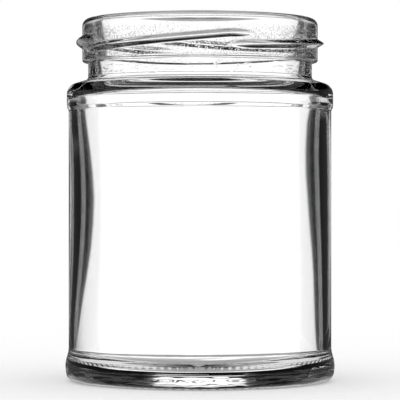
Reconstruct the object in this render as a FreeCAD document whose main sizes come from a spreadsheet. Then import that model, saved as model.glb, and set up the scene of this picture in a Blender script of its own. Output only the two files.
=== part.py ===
import FreeCAD, Part
import math
import os
import re
import Sketcher

# A panelled food jar of clear glass, one solid, with a four-start twist-off finish.
# Millimetres, +Z up. The origin is the middle of the ring that the jar stands on.
# Radii are worked inwards from the base bead, heights up from the ring and down from the rim.

NODE = "jar"

SIZES = {
    # overall
    "jar_height": 99.8,            # bearing ring to the crest of the rim
    "body_radius": 37.2,           # the base bead, the widest part
    # base
    "bearing_width": 2.6,          # flat face of the ring that the jar stands on
    "bearing_height": 0.35,        # how far that ring stands out below the heel
    "bearing_flank": 0.25,         # spread of each of its sides over that height
    "heel_round": 2.2,             # from beside the bearing ring up into the base bead
    "heel_land": 1.9,              # flat left between that ring and the heel's round
    "punt_depth": 1.3,             # hollow of the underside at the axis
    "knurl_count": 90,             # shallow grooves across the bearing ring
    "knurl_roof": 0.05,            # height of the ring left over the middle of a groove
    "knurl_round": 0.9,            # radius of a groove's section
    "base_bead_height": 5.2,       # top of the bead's upright face
    "base_step_height": 3.2,       # slope from the bead back into the label panel
    "base_step_round": 6.0,
    # label panel
    "panel_recess": 0.9,           # how far the panel lies inside the base bead
    # shoulder
    "shoulder_bead_inset": 0.4,    # shoulder bead inside the base bead, radially
    "shoulder_bead_height": 5.75,  # from the panel's upper step to the shoulder's corner
    "shoulder_step_height": 1.1,   # slope from the panel out to the bead
    "shoulder_step_round": 1.4,
    "shoulder_width": 5.85,        # from the neck out to the shoulder bead
    "shoulder_drop": 1.8,          # fall of the shoulder over that width
    "shoulder_round": 2.8,
    # neck and finish
    "neck_height": 4.85,           # shoulder to the lower edge of the finish
    "neck_root_round": 0.9,
    "finish_overhang": 1.6,        # finish wall outside the neck
    "finish_height": 11.9,         # lower edge of the finish to the crest of the rim
    "finish_foot_round": 0.5,
    "rim_outer_round": 1.9,
    "rim_inner_round": 0.7,
    # inside
    "floor_height": 3.8,           # floor above the bearing ring, where it meets the wall
    "floor_rise": 0.5,             # crown of the floor at the axis
    "floor_round": 6.0,
    "wall_foot": 1.75,             # wall of the panel where it meets the floor
    "wall_top": 2.2,               # wall of the panel under the shoulder
    "wall_swell": 0.9,             # extra wall at mid height
    "shoulder_wall_in": 3.0,       # glass of the shoulder beside the neck, measured upright
    "shoulder_wall_out": 2.0,      # and beside the wall
    "shoulder_inner_round": 5.0,
    "neck_wall": 2.2,
    "neck_inner_round": 3.0,
    "rim_wall": 2.65,
    # thread lugs
    "lug_count": 4,
    "lug_start": -74.0,            # azimuth of the first lug's lower end, from +X
    "lug_sweep": 98.0,             # angle that each lug spans
    "lug_foot_drop": 8.9,          # rim crest down to the middle of the lug's lower end
    "lug_rise": 3.6,               # climb over the sweep
    "lug_projection": 1.72,        # crest of the lug outside the finish wall
    "lug_root_height": 2.3,        # height of the lug where it leaves the wall
    "lug_crest_height": 1.0,       # height of the lug at its rounded crest
    "lug_sink": 0.8,               # how deep the lug's section reaches into the wall
}

# The lug climbs gently at first, as a land that holds the cap, and steeper at its entry:
# this share of the rise is linear and the rest grows with the square of the way along.
LUG_LAND_SHARE = 0.36
# Share of the sweep over which each end of a lug is rounded off to nothing.
LUG_NOSE = 0.08
LUG_NOSE_SIZE = 0.2                # size of the section that closes a nose
LUG_STATIONS = (0.0, 0.025, 0.08, 0.24, 0.42, 0.58, 0.76, 0.92, 0.975, 1.0)

# The punt and the floor are drawn bowed off their chords by this share of their rise, and
# settle where their arcs' centres lie on the axis.
DOME_START_BOW = 0.3

# Most of the rim's wall that its outer and its inner round may take, with a land left between.
RIM_OUT_SHARE = 0.72
RIM_IN_SHARE = 0.27

# The crest of a lug bows out by this share of its height, so its radius is the next share.
CREST_BOW = 0.25
CREST_R = (0.25 + CREST_BOW**2) / (2 * CREST_BOW)

# Radii and heights that follow from the sizes.
SHOULDER_R = "(body_radius - shoulder_bead_inset)"
PANEL_R = "(body_radius - panel_recess)"
NECK_R = f"({SHOULDER_R} - shoulder_width)"
FINISH_R = f"({NECK_R} + finish_overhang)"
BORE_R = f"({FINISH_R} - rim_wall)"
BEARING_R = "(body_radius - heel_round - heel_land - bearing_flank)"
BEARING_IN = f"({BEARING_R} - bearing_width)"
FINISH_Z = "(jar_height - finish_height)"
NECK_Z = f"({FINISH_Z} - neck_height)"
CORNER_Z = f"({NECK_Z} - shoulder_drop)"
STEP_Z = f"({CORNER_Z} - shoulder_bead_height)"
PANEL_TOP_Z = f"({STEP_Z} - shoulder_step_height)"
PANEL_FOOT_Z = "(base_bead_height + base_step_height)"
SLOPE = "(shoulder_drop / shoulder_width)"
NECK_IN_R = f"({NECK_R} - neck_wall)"
NECK_IN_Z = f"({NECK_Z} + neck_wall * {SLOPE} - shoulder_wall_in)"
WALL_TOP_R = f"({PANEL_R} - wall_top)"
WALL_TOP_Z = f"({CORNER_Z} + ({SHOULDER_R} - {WALL_TOP_R}) * {SLOPE} - shoulder_wall_out)"
WALL_FOOT_R = f"({PANEL_R} - wall_foot)"
WALL_CHORD = f"sqrt(({WALL_TOP_Z} - floor_height)^2 + (wall_top - wall_foot)^2)"
WALL_ARC_R = f"(({WALL_CHORD})^2 / 4 + wall_swell^2) / (2 * wall_swell)"
LUG_CREST = f"(lug_projection - {CREST_BOW} * lug_crest_height)"
RIM_OUT = f"min(rim_outer_round; {RIM_OUT_SHARE} * rim_wall)"
RIM_IN = f"min(rim_inner_round; {RIM_IN_SHARE} * rim_wall)"


def sized(text):
    """Point every size named in an expression at its cell of the sheet."""
    return re.sub(r"[a-z_]+", lambda word: f"Sizes.{word[0]}" if word[0] in SIZES else word[0], text)


def write_sheet(doc):
    sheet = doc.addObject("Spreadsheet::Sheet", "Sizes")
    for row, (alias, value) in enumerate(SIZES.items(), start=1):
        sheet.set(f"A{row}", alias)
        sheet.set(f"B{row}", str(value))
        sheet.setAlias(f"B{row}", alias)
    doc.recompute()
    return sheet


AXIS = -2                          # the sketcher's number for a sketch's upright axis
RING_SLACK = 1e-4                  # how nearly an edge must match the ring looked for


def value(text):
    """The number that an expression in the sizes stands for."""
    return float(FreeCAD.ActiveDocument.getObject("Sizes").evalExpression(sized(text)))


def origin_feature(body, role):
    return next(item for item in body.Origin.OriginFeatures if item.Role == role)


def new_sketch(body, name):
    """A sketch on the body's XZ plane: its x is a radius and its y a height."""
    sketch = body.newObject("Sketcher::SketchObject", name)
    sketch.AttachmentSupport = [(origin_feature(body, "XZ_Plane"), "")]
    sketch.MapMode = "FlatFace"
    return sketch


def drive(sketch, kind, label, where, text):
    """A dimension of the sketch that follows an expression; where ends on the point it places."""
    size = value(text)
    ends = (*where, -1, 1) if size < 0 else (-1, 1, *where)
    index = sketch.addConstraint(Sketcher.Constraint(kind, *ends, abs(size)))
    sketch.renameConstraint(index, label)
    sketch.setExpression(f"Constraints.{label}", sized(f"-({text})" if size < 0 else text))


def end_at(sketch, number, point):
    """Which end of a sketch's edge, 1 or 2, lies on the point."""
    return min((1, 2), key=lambda end: (sketch.getPoint(number, end) - point).Length)


def outline(sketch, corners, bows):
    """Close a run of corners (radius, height) with lines, or with arcs where bows names one.

    A bow is keyed by the number of the corner that it starts from, and holds how far the arc's
    middle stands off the chord, positive to the right of the way along, and its radius. A bow
    without a radius has its centre on the axis.
    """
    points = [FreeCAD.Vector(value(radius), value(height), 0) for radius, height in corners]
    for number, here in enumerate(points):
        there = points[(number + 1) % len(points)]
        if number in bows:
            chord = there - here
            across = FreeCAD.Vector(chord.y, -chord.x, 0).normalize()
            middle = (here + there) * 0.5 + across * value(bows[number][0])
            sketch.addGeometry(Part.Arc(here, middle, there), False)
        else:
            sketch.addGeometry(Part.LineSegment(here, there), False)
    heads = [end_at(sketch, number, point) for number, point in enumerate(points)]
    for number, head in enumerate(heads):
        before = (number - 1) % len(points)
        ends = (before, 3 - heads[before], number, head)
        sketch.addConstraint(Sketcher.Constraint("Coincident", *ends))
    for number, (radius, height) in enumerate(corners):
        place = (number, heads[number])
        drive(sketch, "DistanceX", f"radius_{number}", place, radius)
        drive(sketch, "DistanceY", f"height_{number}", place, height)
    for number, (_, radius) in bows.items():
        if radius:
            index = sketch.addConstraint(Sketcher.Constraint("Radius", number, value(radius)))
            sketch.renameConstraint(index, f"bow_{number}")
            sketch.setExpression(f"Constraints.bow_{number}", sized(radius))
        else:
            sketch.addConstraint(Sketcher.Constraint("PointOnObject", number, 3, AXIS))


def turned(body, kind, name, sketch):
    """Turn a half section once round the axis, as a solid or as a cut."""
    feature = body.newObject(kind, name)
    feature.Profile = sketch
    feature.ReferenceAxis = (sketch, ["V_Axis"])
    feature.Angle = 360
    sketch.Visibility = False
    body.Document.recompute()
    return feature


def rounded(body, name, radius, rings):
    """Round the circular edges that stand at the given radii and heights."""
    base = body.Tip
    names = [ring_name(base.Shape, value(ring), value(height)) for ring, height in rings]
    feature = body.newObject("PartDesign::Fillet", name)
    feature.Base = (base, names)
    feature.Radius = value(radius)
    feature.setExpression("Radius", sized(radius))
    body.Document.recompute()
    return feature


def ring_name(shape, radius, height):
    """The name of the full circle round the axis at a radius and height."""
    for number, edge in enumerate(shape.Edges, start=1):
        if edge.Degenerated or not isinstance(edge.Curve, Part.Circle):
            continue
        miss = max(abs(edge.Curve.Radius - radius), abs(edge.Curve.Center.z - height))
        if miss < RING_SLACK:
            return f"Edge{number}"
    raise RuntimeError(f"no edge at radius {radius:.3f} and height {height:.3f}")


def make_outside(body):
    """The jar as a full block of glass, with its beads, panel, shoulder, neck and finish."""
    sketch = new_sketch(body, "OuterSection")
    corners = [
        ("0", "punt_depth"),
        (f"({BEARING_IN} - bearing_flank)", "bearing_height"),
        (BEARING_IN, "0"),
        (BEARING_R, "0"),
        (f"({BEARING_R} + bearing_flank)", "bearing_height"),
        ("body_radius", "bearing_height"),
        ("body_radius", "base_bead_height"),
        (PANEL_R, PANEL_FOOT_Z),
        (PANEL_R, PANEL_TOP_Z),
        (SHOULDER_R, STEP_Z),
        (SHOULDER_R, CORNER_Z),
        (NECK_R, NECK_Z),
        (NECK_R, FINISH_Z),
        (FINISH_R, FINISH_Z),
        (FINISH_R, "jar_height"),
        ("0", "jar_height"),
    ]
    outline(sketch, corners, {0: (f"-{DOME_START_BOW} * punt_depth", None)})
    turned(body, "PartDesign::Revolution", "Outside", sketch)
    rounded(body, "HeelRound", "heel_round", [("body_radius", "bearing_height")])
    steps = [("body_radius", "base_bead_height"), (PANEL_R, PANEL_FOOT_Z)]
    rounded(body, "BaseStepRound", "base_step_round", steps)
    steps = [(PANEL_R, PANEL_TOP_Z), (SHOULDER_R, STEP_Z)]
    rounded(body, "ShoulderStepRound", "shoulder_step_round", steps)
    rounded(body, "ShoulderRound", "shoulder_round", [(SHOULDER_R, CORNER_Z)])
    rounded(body, "NeckRootRound", "neck_root_round", [(NECK_R, NECK_Z)])
    rounded(body, "FinishFootRound", "finish_foot_round", [(FINISH_R, FINISH_Z)])


def make_inside(body):
    """The room inside: floor, wall that swells at mid height, shoulder, neck and mouth."""
    sketch = new_sketch(body, "InnerSection")
    corners = [
        ("0", "(floor_height + floor_rise)"),
        (WALL_FOOT_R, "floor_height"),
        (WALL_TOP_R, WALL_TOP_Z),
        (NECK_IN_R, NECK_IN_Z),
        (BORE_R, "jar_height"),
        (BORE_R, "jar_height + rim_wall"),
        ("0", "jar_height + rim_wall"),
    ]
    bows = {0: (f"-{DOME_START_BOW} * floor_rise", None), 1: ("-wall_swell", WALL_ARC_R)}
    outline(sketch, corners, bows)
    turned(body, "PartDesign::Groove", "Inside", sketch)
    rounded(body, "FloorRound", "floor_round", [(WALL_FOOT_R, "floor_height")])
    rounded(body, "ShoulderInnerRound", "shoulder_inner_round", [(WALL_TOP_R, WALL_TOP_Z)])
    rounded(body, "NeckInnerRound", "neck_inner_round", [(NECK_IN_R, NECK_IN_Z)])
    rounded(body, "RimOuterRound", RIM_OUT, [(FINISH_R, "jar_height")])
    rounded(body, "RimInnerRound", RIM_IN, [(BORE_R, "jar_height")])


def nose(along):
    """How much of a lug's full section stands at a share of the way along it."""
    reach = min(along, 1 - along) / LUG_NOSE
    if reach >= 1:
        return 1.0
    return LUG_NOSE_SIZE + (1 - LUG_NOSE_SIZE) * math.sqrt(1 - (1 - reach) ** 2)


def lug_section(body, number, along):
    """One section of the lug: a ridge with a round crest, standing upright on the wall."""
    sketch = new_sketch(body, f"LugSection{number}")
    climb = LUG_LAND_SHARE * along + (1 - LUG_LAND_SHARE) * along**2
    turn = FreeCAD.Rotation(FreeCAD.Vector(0, 1, 0), value(f"lug_start + lug_sweep * {along}"))
    height = f"jar_height - lug_foot_drop + lug_rise * {climb:.5f}"
    sketch.AttachmentOffset = FreeCAD.Placement(FreeCAD.Vector(0, value(height), 0), turn)
    sketch.setExpression(".AttachmentOffset.Base.y", sized(height))
    angle = f"(lug_start + lug_sweep * {along}) * 1 deg"
    sketch.setExpression(".AttachmentOffset.Rotation.Angle", sized(angle))
    size = f"{nose(along):.4f}"
    root_r = f"({FINISH_R} - lug_sink)"
    crest_r = f"({FINISH_R} + {size} * {LUG_CREST})"
    crest_half = f"({size} * lug_crest_height / 2)"
    flare = f"((lug_root_height - lug_crest_height) / 2 / {LUG_CREST})"
    root_half = f"({crest_half} + ({crest_r} - {root_r}) * {flare})"
    corners = [
        (root_r, root_half),
        (root_r, f"-{root_half}"),
        (crest_r, f"-{crest_half}"),
        (crest_r, crest_half),
    ]
    crest_bow = (f"{size} * {CREST_BOW} * lug_crest_height", f"{size} * {CREST_R} * lug_crest_height")
    outline(sketch, corners, {2: crest_bow})
    sketch.Visibility = False
    return sketch


def make_lugs(body):
    """The lugs of the finish: each a right-handed ridge with nosed ends, repeated round it."""
    sections = [lug_section(body, number, along) for number, along in enumerate(LUG_STATIONS)]
    body.Document.recompute()
    lug = body.newObject("PartDesign::AdditiveLoft", "Lug")
    lug.Profile = sections[0]
    lug.Sections = sections[1:]
    body.Document.recompute()
    repeated(body, "Lugs", lug, "lug_count")


def make_knurl(body):
    """Shallow radial grooves across the bearing ring, with flat lands left between them."""
    sketch = body.newObject("Sketcher::SketchObject", "KnurlSection")
    sketch.AttachmentSupport = [(origin_feature(body, "YZ_Plane"), "")]
    sketch.MapMode = "FlatFace"
    start = f"{BEARING_IN} - 2 * bearing_flank"
    place = FreeCAD.Vector(0, 0, value(start))
    sketch.AttachmentOffset = FreeCAD.Placement(place, FreeCAD.Rotation())
    sketch.setExpression(".AttachmentOffset.Base.z", sized(start))
    roof = "bearing_height - knurl_roof - knurl_round"
    radius = value("knurl_round")
    centre = FreeCAD.Vector(0, value(roof), 0)
    sketch.addGeometry(Part.Circle(centre, FreeCAD.Vector(0, 0, 1), radius), False)
    sketch.addConstraint(Sketcher.Constraint("PointOnObject", 0, 3, AXIS))
    drive(sketch, "DistanceY", "groove_centre", (0, 3), roof)
    index = sketch.addConstraint(Sketcher.Constraint("Radius", 0, radius))
    sketch.renameConstraint(index, "groove_radius")
    sketch.setExpression("Constraints.groove_radius", sized("knurl_round"))
    sketch.Visibility = False
    groove = body.newObject("PartDesign::Pocket", "Knurl")
    groove.Profile = sketch
    groove.Reversed = True
    run = "bearing_width + 4 * bearing_flank"
    groove.Length = value(run)
    groove.setExpression("Length", sized(run))
    body.Document.recompute()
    repeated(body, "Knurls", groove, "knurl_count")


def repeated(body, name, feature, count):
    """Repeat a feature evenly round the axis."""
    ring = body.newObject("PartDesign::PolarPattern", name)
    ring.Originals = [feature]
    ring.Axis = (origin_feature(body, "Z_Axis"), [""])
    ring.Angle = 360
    ring.Occurrences = int(value(count))
    ring.setExpression("Occurrences", sized(count))
    body.Tip = ring
    body.Document.recompute()


def check(doc, body):
    """Stop unless every feature was made and the jar is one sound solid."""
    failed = [item.Name for item in doc.Objects if {"Invalid", "Error"} & set(item.State)]
    if failed:
        raise RuntimeError(f"failed features: {', '.join(failed)}")
    shape = body.Shape
    if shape.isNull() or not shape.isValid() or len(shape.Solids) != 1:
        raise RuntimeError("the jar is not one valid solid")


def main():
    doc = FreeCAD.newDocument("PanelledJar")
    write_sheet(doc)
    body = doc.addObject("PartDesign::Body", "Jar")
    body.Label = NODE
    body.Placement = FreeCAD.Placement()
    make_outside(body)
    make_inside(body)
    make_lugs(body)
    make_knurl(body)
    doc.recompute()
    check(doc, body)
    os.makedirs("parts", exist_ok=True)
    body.Shape.exportStep(f"parts/{body.Label}.step")
    print(f"{body.Label}: {body.Shape.Volume / 1000:.2f} cm3 of glass")


main()
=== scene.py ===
import math

import bmesh
import bpy
import numpy as np
from bpy.props import FloatProperty, FloatVectorProperty, IntProperty, PointerProperty
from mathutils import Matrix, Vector


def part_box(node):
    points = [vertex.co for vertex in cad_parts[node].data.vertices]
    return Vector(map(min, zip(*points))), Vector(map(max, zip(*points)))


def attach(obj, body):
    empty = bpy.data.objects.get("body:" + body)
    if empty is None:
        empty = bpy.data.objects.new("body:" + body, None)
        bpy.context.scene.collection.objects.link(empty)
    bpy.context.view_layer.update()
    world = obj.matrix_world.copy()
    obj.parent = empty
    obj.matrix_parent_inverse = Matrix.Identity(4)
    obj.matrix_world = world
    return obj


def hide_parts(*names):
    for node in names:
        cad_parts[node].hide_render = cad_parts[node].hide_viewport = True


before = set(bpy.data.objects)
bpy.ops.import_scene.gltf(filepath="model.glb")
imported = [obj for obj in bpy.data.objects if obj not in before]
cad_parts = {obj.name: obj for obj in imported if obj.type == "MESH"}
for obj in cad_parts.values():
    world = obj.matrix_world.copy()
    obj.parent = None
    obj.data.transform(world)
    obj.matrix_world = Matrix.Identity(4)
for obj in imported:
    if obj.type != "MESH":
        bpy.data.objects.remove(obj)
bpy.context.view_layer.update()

bl_info = {
    "name": "Panelled glass jar",
    "version": (1, 0, 0),
    "blender": (4, 5, 0),
    "location": "View3D > Sidebar > Jar",
    "description": "Models a clear food jar with a lugged finish and the stage it stands on",
    "category": "Object",
}

JAR_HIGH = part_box("jar")[1]
MM = 0.001
CRISP = 0.1 * MM               # reach of the round on an edge that the mould leaves nearly sharp

# Lugs: 1 makes a lug's section a triangle, and more bulges its flanks. The even part of the climb
# is the share that rises steadily, and the rest steepens towards the upper end.
LUG_FULLNESS = 1.35
LUG_EVEN_CLIMB = 0.36

# The camera: level with the middle of the jar, with a long lens. Metres, then millimetres.
CAMERA_DISTANCE = 0.625
CAMERA_HEIGHT = 0.04985
CAMERA_SENSOR = 36
CAMERA_LENS = 203.1

# What the glass shows of the studio, in degrees: where each thing has faded out, and where it is
# full. Sides are measured from the nearest quarter turn, the rest up from the level.
CARD_SIDE, CARD_FOOT, CARD_TOP, CARD_LIGHT = (14, 12), (-24, -18), (28, 22), 1.2
UPPER_SIDE, UPPER_TOP, UPPER_LIGHT = (17, 9), (40, 34), 0.4
TABLE_FAR_EDGE, TABLE_NEAR_EDGE, TABLE_LIGHT = (-7, -14), (-78, -58), 0.8
SHADE_SIDE, SHADE_EDGE, SHADE_DEPTH = (24, 10), (-18, -26), 0.75
MIRROR_TOP, MIRROR_LIGHT = (16, 8), 0.1

# Marks of the mould: how stretched the pattern is, its scale, and the part of it that stands out.
SPECKS = ((1, 1, 1), 2600, 0.56, 0.72)
CREASES = ((0.3, 0.3, 1.6), 1100, 0.62, 0.70)
MARK_HEIGHT = 0.05 * MM


def length(name, description, default):
    return FloatProperty(name=name, description=description, default=default, unit="LENGTH", precision=5)


class JarSizes(bpy.types.PropertyGroup):
    """Sizes of the jar. Radii run inwards from the base bead, heights up and down from its ends."""
    height: length("Height", "From the bearing ring to the crest of the rim", JAR_HIGH[2])
    body_radius: length("Body radius", "Base bead, the widest part", JAR_HIGH[0])
    bearing_width: length("Bearing ring", "Flat face that the jar stands on", 2.6 * MM)
    bearing_height: length("Bearing height", "How far that ring stands below the heel", 0.35 * MM)
    bearing_flank: length("Bearing flank", "Spread of the ring's sides", 0.25 * MM)
    bearing_round: length("Bearing round", "Reach of the rounds of the ring", 0.15 * MM)
    heel_round: length("Heel round", "From the ring up into the base bead", 2.2 * MM)
    heel_land: length("Heel land", "Flat between the ring and the heel's round", 1.9 * MM)
    punt_depth: length("Punt depth", "Hollow of the underside at the axis", 1.3 * MM)
    punt_round: length("Punt round", "Reach of the round half way out in that hollow", 6 * MM)
    base_bead_height: length("Base bead", "Top of the bead's upright face", 5.2 * MM)
    base_step_height: length("Base step", "Slope from the bead back to the panel", 3.2 * MM)
    base_step_round: length("Base step round", "Reach of the rounds of that slope", 0.85 * MM)
    panel_recess: length("Panel recess", "How far the panel lies inside the base bead", 0.9 * MM)
    shoulder_bead_inset: length("Shoulder bead inset", "Shoulder bead inside the base bead", 0.4 * MM)
    shoulder_bead_height: length("Shoulder bead", "Upright face of the shoulder bead", 5.75 * MM)
    shoulder_step_height: length("Shoulder step", "Slope from the panel to the bead", 1.1 * MM)
    shoulder_step_round: length("Shoulder step round", "Reach of the rounds of that slope", 0.3 * MM)
    shoulder_width: length("Shoulder width", "From the neck out to the bead", 5.85 * MM)
    shoulder_drop: length("Shoulder drop", "Fall of the shoulder over its width", 1.8 * MM)
    shoulder_round: length("Shoulder round", "Reach of the outer corner's round", 2.1 * MM)
    neck_height: length("Neck height", "Shoulder to the lower edge of the finish", 4.85 * MM)
    neck_root_round: length("Neck root", "Reach of the round from shoulder to neck", 0.8 * MM)
    finish_overhang: length("Finish overhang", "Finish wall outside the neck", 1.6 * MM)
    finish_height: length("Finish height", "Lower edge of the finish to the rim", 11.9 * MM)
    finish_foot_round: length("Finish foot", "Reach of the round under the finish", 0.5 * MM)
    rim_outer_round: length("Rim, outside", "Reach of the rim's outer round", 1.9 * MM)
    rim_inner_round: length("Rim, inside", "Reach of the rim's inner round", 0.68 * MM)
    floor_height: length("Floor height", "Inside floor above the bearing ring", 3.8 * MM)
    floor_rise: length("Floor crown", "Rise of the floor at the axis", 0.5 * MM)
    floor_round: length("Floor round", "Reach of the round from floor to wall", 5.9 * MM)
    wall_foot: length("Wall at the foot", "Glass of the panel by the floor", 1.75 * MM)
    wall_top: length("Wall at the top", "Glass of the panel under the shoulder", 2.2 * MM)
    wall_swell: length("Wall swell", "Extra glass at mid height", 0.9 * MM)
    shoulder_wall_in: length("Shoulder at the neck", "Glass of the shoulder, measured upright", 3.0 * MM)
    shoulder_wall_out: length("Shoulder at the wall", "Glass of the shoulder, measured upright", 2.0 * MM)
    shoulder_inner_round: length("Inner shoulder", "Reach of the round inside the shoulder", 2.6 * MM)
    neck_wall: length("Neck wall", "Glass of the neck", 2.2 * MM)
    neck_inner_round: length("Inner neck", "Reach of the round inside the neck", 2.3 * MM)
    rim_wall: length("Rim wall", "Glass of the finish at the rim", 2.65 * MM)
    wall_drift: length("Wall drift", "How far the blown inner wall wanders", 0.33 * MM)
    parting_height: length("Parting line", "Height of the mould's line round the base bead", 3.66 * MM)
    parting_width: length("Parting width", "Width of that line", 0.36 * MM)
    parting_depth: length("Parting depth", "How deep that line is", 0.08 * MM)
    base_wave: length("Base waves", "How uneven the heel and the underside are", 0.12 * MM)
    knurls: IntProperty(name="Knurls", description="Grooves across the bearing ring", default=90)
    columns: IntProperty(name="Columns", description="Faces round the jar", default=360, min=90)


class LugSizes(bpy.types.PropertyGroup):
    """Sizes of the lugs that a cap turns onto."""
    count: IntProperty(name="Lugs", description="How many stand round the finish", default=4, min=1)
    start: FloatProperty(name="Start", description="Azimuth of the first lug's lower end",
                         default=math.radians(-74), subtype="ANGLE")
    sweep: FloatProperty(name="Sweep", description="Angle that each lug spans",
                         default=math.radians(98), subtype="ANGLE")
    foot_drop: length("Foot drop", "Rim to the middle of a lug's lower end", 8.9 * MM)
    rise: length("Rise", "Climb of a lug over its sweep", 3.6 * MM)
    projection: length("Projection", "Crest of a lug outside the wall", 1.72 * MM)
    root_height: length("Root height", "Height of a lug where it leaves the wall", 2.3 * MM)
    nose: length("Nose", "Length of a lug's tapered end", 7.0 * MM)


class JarColours(bpy.types.PropertyGroup):
    """Colours of the glass and of the stage."""
    glass: FloatVectorProperty(name="Glass", description="Tint of the glass", subtype="COLOR",
                               size=4, min=0, max=1, default=(1.0, 1.0, 1.0, 1.0))
    floor: FloatVectorProperty(name="Floor", description="Colour of the floor and backdrop",
                               subtype="COLOR", size=4, min=0, max=1, default=(1.0, 1.0, 1.0, 1.0))


def deselect_all():
    if bpy.context.object and bpy.context.object.mode != "OBJECT":
        bpy.ops.object.mode_set(mode="OBJECT")
    bpy.ops.object.select_all(action="DESELECT")


def edit_vertices(obj, wanted):
    """Go to edit mode with only the vertices selected that wanted accepts."""
    bpy.ops.mesh.select_mode(type="VERT")
    mesh = bmesh.from_edit_mesh(obj.data)
    for vertex in mesh.verts:
        vertex.select_set(wanted(vertex.co))
    mesh.select_flush(True)
    mesh.select_flush(False)
    bmesh.update_edit_mesh(obj.data)


def jar_levels(s):
    """Radii and heights that follow from the sizes."""
    level = {}
    level["shoulder_r"] = s.body_radius - s.shoulder_bead_inset
    level["panel_r"] = s.body_radius - s.panel_recess
    level["neck_r"] = level["shoulder_r"] - s.shoulder_width
    level["finish_r"] = level["neck_r"] + s.finish_overhang
    level["bore_r"] = level["finish_r"] - s.rim_wall
    level["heel_r"] = s.body_radius - s.heel_round - s.heel_land
    level["bearing_r"] = level["heel_r"] - s.bearing_flank
    level["bearing_in"] = level["bearing_r"] - s.bearing_width
    level["finish_z"] = s.height - s.finish_height
    level["neck_z"] = level["finish_z"] - s.neck_height
    level["corner_z"] = level["neck_z"] - s.shoulder_drop
    level["step_z"] = level["corner_z"] - s.shoulder_bead_height
    level["panel_top_z"] = level["step_z"] - s.shoulder_step_height
    level["panel_foot_z"] = s.base_bead_height + s.base_step_height
    slope = s.shoulder_drop / s.shoulder_width
    level["neck_in_r"] = level["neck_r"] - s.neck_wall
    level["neck_in_z"] = level["neck_z"] + s.neck_wall * slope - s.shoulder_wall_in
    level["wall_top_r"] = level["panel_r"] - s.wall_top
    level["wall_top_z"] = (level["corner_z"] + (level["shoulder_r"] - level["wall_top_r"]) * slope
                           - s.shoulder_wall_out)
    level["wall_foot_r"] = level["panel_r"] - s.wall_foot
    return level


def jar_section(s, level):
    """Corners of the half section, from the axis under the base round to the axis inside.

    Each is (radius, height, how far its round reaches from the corner, cuts in the round,
    cuts in the straight run that follows). The long run is the finish, whose many cuts the lugs
    need.
    """
    return [
        (0.0, s.punt_depth, 0, 0, 2),
        (0.5 * level["bearing_in"], 0.72 * s.punt_depth + 0.1 * s.bearing_height, s.punt_round, 4, 2),
        (level["bearing_in"] - s.bearing_flank, s.bearing_height, s.bearing_round, 2, 0),
        (level["bearing_in"], 0.0, s.bearing_round, 2, 3),
        (level["bearing_r"], 0.0, s.bearing_round, 2, 0),
        (level["heel_r"], s.bearing_height, CRISP, 1, 0),
        (s.body_radius, s.bearing_height, s.heel_round, 12, 5),
        (s.body_radius, s.base_bead_height, s.base_step_round, 4, 1),
        (level["panel_r"], level["panel_foot_z"], s.base_step_round, 4, 6),
        (level["panel_r"], level["panel_top_z"], s.shoulder_step_round, 3, 0),
        (level["shoulder_r"], level["step_z"], s.shoulder_step_round, 3, 3),
        (level["shoulder_r"], level["corner_z"], s.shoulder_round, 12, 2),
        (level["neck_r"], level["neck_z"], s.neck_root_round, 5, 6),
        (level["neck_r"], level["finish_z"], CRISP, 1, 1),
        (level["finish_r"], level["finish_z"], s.finish_foot_round, 4, 62),
        (level["finish_r"], s.height, s.rim_outer_round, 9, 1),
        (level["bore_r"], s.height, s.rim_inner_round, 5, 3),
        (level["neck_in_r"], level["neck_in_z"], s.neck_inner_round, 6, 1),
        (level["wall_top_r"], level["wall_top_z"], s.shoulder_inner_round, 8, 9),
        (level["wall_foot_r"], s.floor_height, s.floor_round, 12, 5),
        (0.0, s.floor_height + s.floor_rise, 0, 0, 0),
    ]


def draw_section(corners):
    """A closed ring of vertices pulled out to the section's corners, then rounded and cut."""
    bpy.ops.mesh.primitive_circle_add(vertices=len(corners), radius=30 * MM)
    obj = bpy.context.object
    obj.name = "glass_jar"
    for vertex, (radius, height, *_) in zip(obj.data.vertices, corners):
        vertex.co = (radius, 0, height)
    bpy.ops.object.mode_set(mode="EDIT")
    axis_edge_away(obj)
    for radius, height, reach, cuts, _ in corners:
        if reach:
            edit_vertices(obj, near(radius, height))
            bpy.ops.mesh.bevel(offset_type="OFFSET", offset=reach, segments=cuts + 1, affect="VERTICES")
    return obj


def near(radius, height):
    """A test for the vertex at one corner of the section."""
    spot = Vector((radius, 0, height))
    return lambda place: (place - spot).length < 1e-6


def axis_edge_away(obj):
    """Drop the edge that closes the section along the axis, which would turn into nothing."""
    mesh = bmesh.from_edit_mesh(obj.data)
    flat = [edge for edge in mesh.edges if all(abs(v.co.x) < 1e-7 for v in edge.verts)]
    bmesh.ops.delete(mesh, geom=flat, context="EDGES_FACES")
    bmesh.update_edit_mesh(obj.data)


def cut_runs(obj, corners):
    """Divide each straight run of the section into the number of edges that its shape needs."""
    mesh = bmesh.from_edit_mesh(obj.data)
    for here, there in zip(corners, corners[1:]):
        cuts = here[4]
        if cuts:
            start = Vector((here[0], 0, here[1]))
            way = Vector((there[0], 0, there[1])) - start
            run = [edge for edge in mesh.edges if all(on_run(v.co, start, way) for v in edge.verts)]
            bmesh.ops.subdivide_edges(mesh, edges=run, cuts=cuts)
    bmesh.update_edit_mesh(obj.data)


def on_run(place, start, way):
    """Whether a place lies on the straight run that begins at start and goes by way."""
    along = (place - start).dot(way) / way.length_squared
    return -1e-6 < along < 1 + 1e-6 and (place - start - way * along).length < 1e-7


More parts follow.
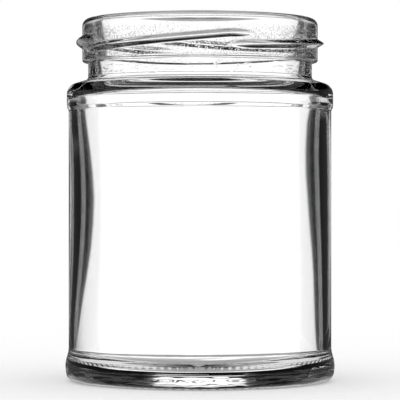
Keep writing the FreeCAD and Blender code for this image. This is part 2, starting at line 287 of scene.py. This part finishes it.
def swell_wall(obj, s, level):
    """Thicken the inner wall gently towards mid height."""
    mesh = bmesh.from_edit_mesh(obj.data)
    start = Vector((level["wall_top_r"], 0, level["wall_top_z"]))
    way = Vector((level["wall_foot_r"], 0, s.floor_height)) - start
    for vertex in mesh.verts:
        if on_run(vertex.co, start, way):
            along = (vertex.co - start).dot(way) / way.length_squared
            vertex.co.x -= s.wall_swell * 4 * along * (1 - along)
    bmesh.update_edit_mesh(obj.data)


def turn_section(columns):
    """Spin the section once round the axis and close the seam and the two poles."""
    bpy.ops.mesh.select_all(action="SELECT")
    bpy.ops.mesh.spin(steps=columns, angle=2 * math.pi, center=(0, 0, 0), axis=(0, 0, 1))
    bpy.ops.mesh.select_all(action="SELECT")
    bpy.ops.mesh.remove_doubles(threshold=1e-6)
    bpy.ops.mesh.normals_make_consistent(inside=False)


def polar(obj):
    """The vertices' radius, azimuth and height, as arrays."""
    places = np.empty(len(obj.data.vertices) * 3)
    obj.data.vertices.foreach_get("co", places)
    places = places.reshape(-1, 3)
    return np.hypot(places[:, 0], places[:, 1]), np.arctan2(places[:, 1], places[:, 0]), places[:, 2]


def put_back(obj, radius, azimuth, height):
    """Move the vertices to these radii, azimuths and heights."""
    places = np.stack([radius * np.cos(azimuth), radius * np.sin(azimuth), height], axis=1)
    obj.data.vertices.foreach_set("co", places.ravel())
    obj.data.update()


def raise_lugs(radius, azimuth, height, lugs, s, level):
    """Push the finish wall out into lugs: ridges that climb, with a round crest and nosed ends."""
    on_wall = radius > level["finish_r"] - 0.6 * MM
    out = np.zeros_like(radius)
    half = lugs.root_height / 2
    for number in range(lugs.count):
        turn = azimuth - lugs.start - number * 2 * math.pi / lugs.count
        turn = np.mod(turn + math.pi - lugs.sweep / 2, 2 * math.pi) - math.pi + lugs.sweep / 2
        inset = (lugs.nose - half) / level["finish_r"]
        kept = np.clip(turn, inset, lugs.sweep - inset)
        along = kept / lugs.sweep
        climb = LUG_EVEN_CLIMB * along + (1 - LUG_EVEN_CLIMB) * along**2
        middle = s.height - lugs.foot_drop + lugs.rise * climb
        past = np.abs(turn - kept) * level["finish_r"] * half / lugs.nose
        away = np.hypot(past, height - middle) / half
        ridge = 1 - np.clip(away, 0, 1) ** LUG_FULLNESS
        out = np.maximum(out, ridge)
    return radius + np.where(on_wall, out * lugs.projection, 0)


def unsettle_wall(radius, azimuth, height, s, level):
    """Let the blown inner wall wander, as the sum of slow waves that run up and round it.

    On average it is thin low down and thick about three quarters up. It leans to one side and is
    never quite round. The waves die away towards the neck and the middle of the floor.
    """
    up = (height - s.floor_height) / (level["wall_top_z"] - s.floor_height)
    inside = (radius < level["panel_r"] - 0.5 * s.wall_foot) & (radius > 0.5 * level["neck_in_r"])
    inside &= (up > -0.001) & (height < level["neck_z"] + s.neck_height)
    reach = np.clip(np.minimum(1.0, (level["neck_z"] - height) / (10 * MM)), 0, 1)
    reach *= np.clip((radius - 0.5 * level["neck_in_r"]) / (14 * MM), 0, 1)
    turn = 2 * math.pi * np.clip(up, 0, 1.2)
    thin = np.sin(0.85 * turn + 0.6)
    side = (0.36 + 0.76 * np.cos(turn)) * np.cos(azimuth)
    oval = 0.22 * np.sin(1.2 * turn) * np.cos(2 * azimuth + 1)
    ripple = 0.08 * (np.sin(7 * turn + 3 * azimuth) + np.sin(4.3 * turn - 5 * azimuth + 1))
    return radius + np.where(inside, reach * s.wall_drift * (thin - side + oval + ripple), 0)


def cut_knurl(radius, azimuth, height, s, level):
    """Press shallow grooves into the ring that the jar stands on, each a little different."""
    on_ring = (height < 0.6 * s.bearing_height) & (radius > level["bearing_in"] - s.bearing_flank)
    turn = azimuth * s.knurls
    groove = 0.5 + 0.5 * np.cos(turn)
    uneven = 0.75 + 0.15 * np.sin(5 * azimuth + 1) + 0.1 * np.sin(17 * azimuth)
    return height + np.where(on_ring, s.bearing_height * 0.85 * groove * uneven, 0)


def cut_parting_line(radius, height, s):
    """The fine line that the mould's base plate leaves round the base bead."""
    on_bead = (radius > s.body_radius - 0.05 * MM) & (height < s.base_bead_height)
    away = np.abs(height - s.parting_height)
    return radius - np.where(on_bead & (away < s.parting_width / 2), s.parting_depth, 0)


def ripple_base(radius, azimuth, height, s, level):
    """Slight waves that hot glass keeps where it settled: round the heel and under the floor."""
    low = height < s.parting_height - 0.3 * MM
    inner = (radius < level["bearing_in"] - 2 * s.bearing_flank) & low
    heel = (radius > s.body_radius - s.heel_round - 0.6 * MM) & low
    wave = (np.sin(9 * azimuth + 1.4 * height / MM) + 0.7 * np.sin(23 * azimuth - 2.6 * height / MM + 2)
            + 0.5 * np.sin(41 * azimuth + 4.1 * height / MM))
    inward = np.where(heel, s.base_wave * (0.9 + 0.35 * wave), 0)
    swirl = np.sin(4 * azimuth + 0.55 * radius / MM) + 0.6 * np.sin(7 * azimuth - 0.9 * radius / MM)
    lift = np.where(inner, s.base_wave * 0.8 * swirl * np.clip(radius / (20 * MM), 0, 1), 0)
    return radius - inward, height + lift


def math_node(tree, operation, *values):
    """A Math node whose inputs are numbers or other nodes' sockets."""
    node = tree.nodes.new("ShaderNodeMath")
    node.operation = operation
    for socket, value in zip(node.inputs, values):
        if isinstance(value, bpy.types.NodeSocket):
            tree.links.new(value, socket)
        else:
            socket.default_value = value
    return node.outputs[0]


def fade(tree, value, start, end):
    """From 0 at start to 1 at end, softly; start may lie above end."""
    node = tree.nodes.new("ShaderNodeMapRange")
    node.interpolation_type = "SMOOTHSTEP"
    tree.links.new(value, node.inputs["Value"])
    node.inputs["From Min"].default_value = start
    node.inputs["From Max"].default_value = end
    return node.outputs["Result"]


def product(tree, *values):
    """The product of several sockets and numbers."""
    result = values[0]
    for value in values[1:]:
        result = math_node(tree, "MULTIPLY", result, value)
    return result


def mould_marks(level):
    """The normal of the glass: specks between the lugs, and short creases round the neck."""
    group = bpy.data.node_groups.new("mould marks", "ShaderNodeTree")
    group.interface.new_socket("Normal", in_out="OUTPUT", socket_type="NodeSocketVector")
    place = group.nodes.new("ShaderNodeTexCoord")
    split = group.nodes.new("ShaderNodeSeparateXYZ")
    group.links.new(place.outputs["Object"], split.inputs[0])
    height = split.outputs["Z"]
    squared = math_node(group, "MULTIPLY", split.outputs["X"], split.outputs["X"])
    squared = math_node(group, "MULTIPLY_ADD", split.outputs["Y"], split.outputs["Y"], squared)
    radius = math_node(group, "SQRT", squared)
    finish_z, finish_r, neck_r = level["finish_z"], level["finish_r"], level["neck_r"]
    on_finish = product(group, fade(group, height, finish_z - 0.7 * MM, finish_z + 0.1 * MM),
                        fade(group, height, finish_z + 9.1 * MM, finish_z + 7.6 * MM),
                        fade(group, radius, finish_r - 0.3 * MM, finish_r - 0.1 * MM),
                        fade(group, radius, finish_r + 0.2 * MM, finish_r + 0.05 * MM))
    on_neck = product(group, fade(group, height, finish_z - 4.7 * MM, finish_z - 4.1 * MM),
                      fade(group, height, finish_z - 1.0 * MM, finish_z - 1.7 * MM),
                      fade(group, radius, neck_r - 0.4 * MM, neck_r - 0.2 * MM))
    normal = None
    for band, (stretch, scale, low, high) in ((on_finish, SPECKS), (on_neck, CREASES)):
        squeeze = group.nodes.new("ShaderNodeVectorMath")
        squeeze.operation = "MULTIPLY"
        group.links.new(place.outputs["Object"], squeeze.inputs[0])
        squeeze.inputs[1].default_value = stretch
        noise = group.nodes.new("ShaderNodeTexNoise")
        noise.inputs["Scale"].default_value = scale
        noise.inputs["Detail"].default_value = 1.5
        group.links.new(squeeze.outputs[0], noise.inputs["Vector"])
        bump = group.nodes.new("ShaderNodeBump")
        bump.inputs["Distance"].default_value = MARK_HEIGHT
        mark = product(group, fade(group, noise.outputs["Fac"], low, high), band)
        group.links.new(mark, bump.inputs["Height"])
        if normal:
            group.links.new(normal, bump.inputs["Normal"])
        normal = bump.outputs["Normal"]
    end = group.nodes.new("NodeGroupOutput")
    group.links.new(normal, end.inputs["Normal"])
    return group


def glass_material(colours, level):
    """Clear colourless glass, with the marks of its mould."""
    material = bpy.data.materials.new("clear glass")
    material.use_nodes = True
    shader = material.node_tree.nodes["Principled BSDF"]
    shader.inputs["Base Color"].default_value = colours.glass
    shader.inputs["Roughness"].default_value = 0.0
    shader.inputs["IOR"].default_value = 1.52
    shader.inputs["Transmission Weight"].default_value = 1.0
    marks = material.node_tree.nodes.new("ShaderNodeGroup")
    marks.node_tree = mould_marks(level)
    material.node_tree.links.new(marks.outputs["Normal"], shader.inputs["Normal"])
    return material


class JAR_OT_glass(bpy.types.Operator):
    """Model the jar as one closed piece of glass"""
    bl_idname = "jar.glass"
    bl_label = "Glass jar"

    def execute(self, context):
        s = context.scene.jar_sizes
        lugs = context.scene.jar_lugs
        level = jar_levels(s)
        deselect_all()
        corners = jar_section(s, level)
        obj = draw_section(corners)
        cut_runs(obj, corners)
        swell_wall(obj, s, level)
        turn_section(s.columns)
        bpy.ops.object.mode_set(mode="OBJECT")
        radius, azimuth, height = polar(obj)
        radius = raise_lugs(radius, azimuth, height, lugs, s, level)
        radius = unsettle_wall(radius, azimuth, height, s, level)
        radius, height = ripple_base(radius, azimuth, height, s, level)
        radius = cut_parting_line(radius, height, s)
        height = cut_knurl(radius, azimuth, height, s, level)
        put_back(obj, radius, azimuth, height)
        bpy.ops.object.shade_smooth()
        obj.data.materials.append(glass_material(context.scene.jar_colours, level))
        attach(obj, "root")
        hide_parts("jar")
        return {"FINISHED"}


class JAR_OT_stage(bpy.types.Operator):
    """Set the floor, the light and the camera"""
    bl_idname = "jar.stage"
    bl_label = "Stage"

    def execute(self, context):
        floor = add_floor(context.scene.jar_colours)
        camera = add_camera(context.scene)
        light_world(context.scene)
        context.scene.view_settings.view_transform = "Standard"
        return {"FINISHED"}


def add_floor(colours):
    """A plain pale floor, which the glass doesn't show."""
    deselect_all()
    bpy.ops.mesh.primitive_plane_add(size=40, location=(0, 0, 0))
    floor = bpy.context.object
    floor.name = "floor"
    material = bpy.data.materials.new("pale floor")
    material.use_nodes = True
    shader = material.node_tree.nodes["Principled BSDF"]
    shader.inputs["Base Color"].default_value = colours.floor
    shader.inputs["Roughness"].default_value = 1.0
    shader.inputs["Specular IOR Level"].default_value = 0.0
    floor.data.materials.append(material)
    floor.visible_transmission = False
    floor.visible_glossy = False
    return floor


def add_camera(scene):
    """A long lens, level with the middle of the jar."""
    bpy.ops.object.camera_add(location=(0, -CAMERA_DISTANCE, CAMERA_HEIGHT),
                              rotation=(math.pi / 2, 0, 0))
    camera = bpy.context.object
    camera.data.sensor_width = CAMERA_SENSOR
    camera.data.lens = CAMERA_LENS
    scene.camera = camera
    return camera


def light_world(scene):
    """Plain white light, and for what the glass shows, the studio's white cards and table.

    White cards stand round the jar at every quarter turn, level with it, and dimmer ones above
    them. Black gaps beside the cards, and the black above, draw the dark edges of the glass. The
    table is pale all round, and darker close under each card.
    """
    world = bpy.data.worlds.new("studio")
    world.use_nodes = True
    scene.world = world
    tree = world.node_tree
    place = tree.nodes.new("ShaderNodeTexCoord")
    split = tree.nodes.new("ShaderNodeSeparateXYZ")
    tree.links.new(place.outputs["Generated"], split.inputs[0])
    azimuth = math_node(tree, "DEGREES", math_node(tree, "ARCTAN2", split.outputs["X"], split.outputs["Y"]))
    rise = math_node(tree, "DEGREES", math_node(tree, "ARCSINE", split.outputs["Z"]))
    aside = math_node(tree, "PINGPONG", azimuth, 45.0)
    card = product(tree, fade(tree, aside, *CARD_SIDE), fade(tree, rise, *CARD_FOOT),
                   fade(tree, rise, *CARD_TOP), CARD_LIGHT)
    above = product(tree, fade(tree, aside, *UPPER_SIDE), fade(tree, rise, *UPPER_TOP), UPPER_LIGHT)
    under = product(tree, fade(tree, aside, *SHADE_SIDE), fade(tree, rise, *SHADE_EDGE))
    table = product(tree, fade(tree, rise, *TABLE_FAR_EDGE), fade(tree, rise, *TABLE_NEAR_EDGE),
                    math_node(tree, "MULTIPLY_ADD", under, -SHADE_DEPTH, TABLE_LIGHT))
    shine = math_node(tree, "MAXIMUM", math_node(tree, "MAXIMUM", card, above), table)
    mirrored = product(tree, fade(tree, rise, *MIRROR_TOP), MIRROR_LIGHT)
    mirrored = math_node(tree, "MAXIMUM", mirrored, table)
    path = tree.nodes.new("ShaderNodeLightPath")
    through = math_node(tree, "GREATER_THAN", path.outputs["Is Transmission Ray"], 0.5)
    off = math_node(tree, "SUBTRACT", path.outputs["Is Glossy Ray"], through)
    off = math_node(tree, "MAXIMUM", off, 0.0)
    straight = math_node(tree, "LESS_THAN", path.outputs["Diffuse Depth"], 0.5)
    in_glass = product(tree, math_node(tree, "MAXIMUM", through, off), straight)
    seen = math_node(tree, "MULTIPLY_ADD", off, math_node(tree, "SUBTRACT", mirrored, shine), shine)
    plain = math_node(tree, "SUBTRACT", 1.0, in_glass)
    strength = math_node(tree, "MULTIPLY_ADD", in_glass, seen, plain)
    background = tree.nodes["Background"]
    background.inputs["Color"].default_value = (1, 1, 1, 1)
    tree.links.new(strength, background.inputs["Strength"])


class JAR_PT_panel(bpy.types.Panel):
    """Sizes, colours and operators of the jar"""
    bl_label = "Jar"
    bl_idname = "JAR_PT_panel"
    bl_space_type = "VIEW_3D"
    bl_region_type = "UI"
    bl_category = "Jar"

    def draw(self, context):
        for group in (context.scene.jar_sizes, context.scene.jar_lugs, context.scene.jar_colours):
            for name in group.__annotations__:
                self.layout.prop(group, name)
        for operator in (JAR_OT_glass, JAR_OT_stage):
            self.layout.operator(operator.bl_idname)


CLASSES = (JarSizes, LugSizes, JarColours, JAR_OT_glass, JAR_OT_stage, JAR_PT_panel)


def register():
    for item in CLASSES:
        bpy.utils.register_class(item)
    bpy.types.Scene.jar_sizes = PointerProperty(type=JarSizes)
    bpy.types.Scene.jar_lugs = PointerProperty(type=LugSizes)
    bpy.types.Scene.jar_colours = PointerProperty(type=JarColours)


def unregister():
    del bpy.types.Scene.jar_colours
    del bpy.types.Scene.jar_lugs
    del bpy.types.Scene.jar_sizes
    for item in reversed(CLASSES):
        bpy.utils.unregister_class(item)


def main():
    register()
    bpy.ops.jar.glass()
    bpy.ops.jar.stage()


if __name__ == "__main__":
    main()
